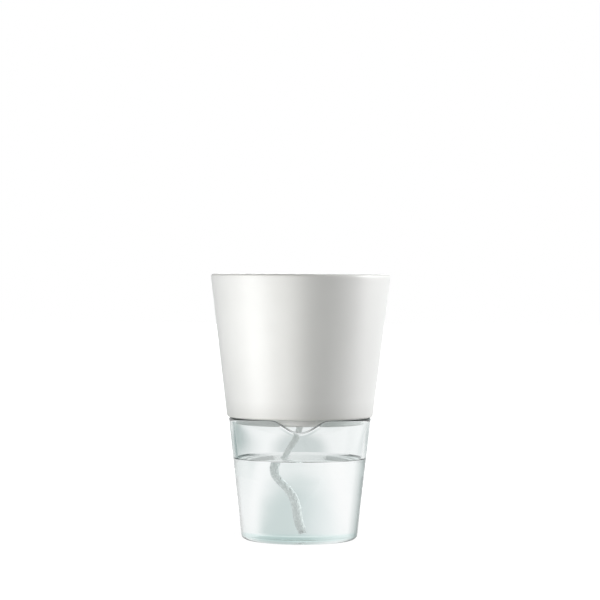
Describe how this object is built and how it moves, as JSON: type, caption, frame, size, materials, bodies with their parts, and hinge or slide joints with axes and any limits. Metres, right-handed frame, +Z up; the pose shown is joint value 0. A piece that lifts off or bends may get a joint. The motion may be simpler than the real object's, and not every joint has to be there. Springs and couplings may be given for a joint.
{
  "type": "self-watering plant pot",
  "caption": "Tapered white ceramic planter seated on a clear glass water reservoir with a dipped pouring rim; a fibre wick through its floor draws water up, and the pot lifts out.",
  "frame": {"origin": "middle of the glass foot, on the surface that it stands on", "axes": "+Z up along the pot's axis; the pouring dip in the glass rim faces -Y"},
  "size_m": [0.1096, 0.1096, 0.1621],
  "materials": {
    "clear_glass": "clear pressed glass with a faint blue-green tint and a fire-polished rim",
    "white_glaze": "smooth satin white glaze, bare on the foot ring",
    "wick_fibre": "undyed braided fibre cord"
  },
  "bodies": {
    "reservoir": {"reservoir_glass": "clear_glass"},
    "pot": {"planter_pot": "white_glaze", "wick": "wick_fibre"}
  },
  "joints": [
    {"name": "pot_lift", "type": "slide", "parent": "reservoir", "child": "pot", "axis": [0, 0, 1], "range_m": [0, 0.08]}
  ]
}
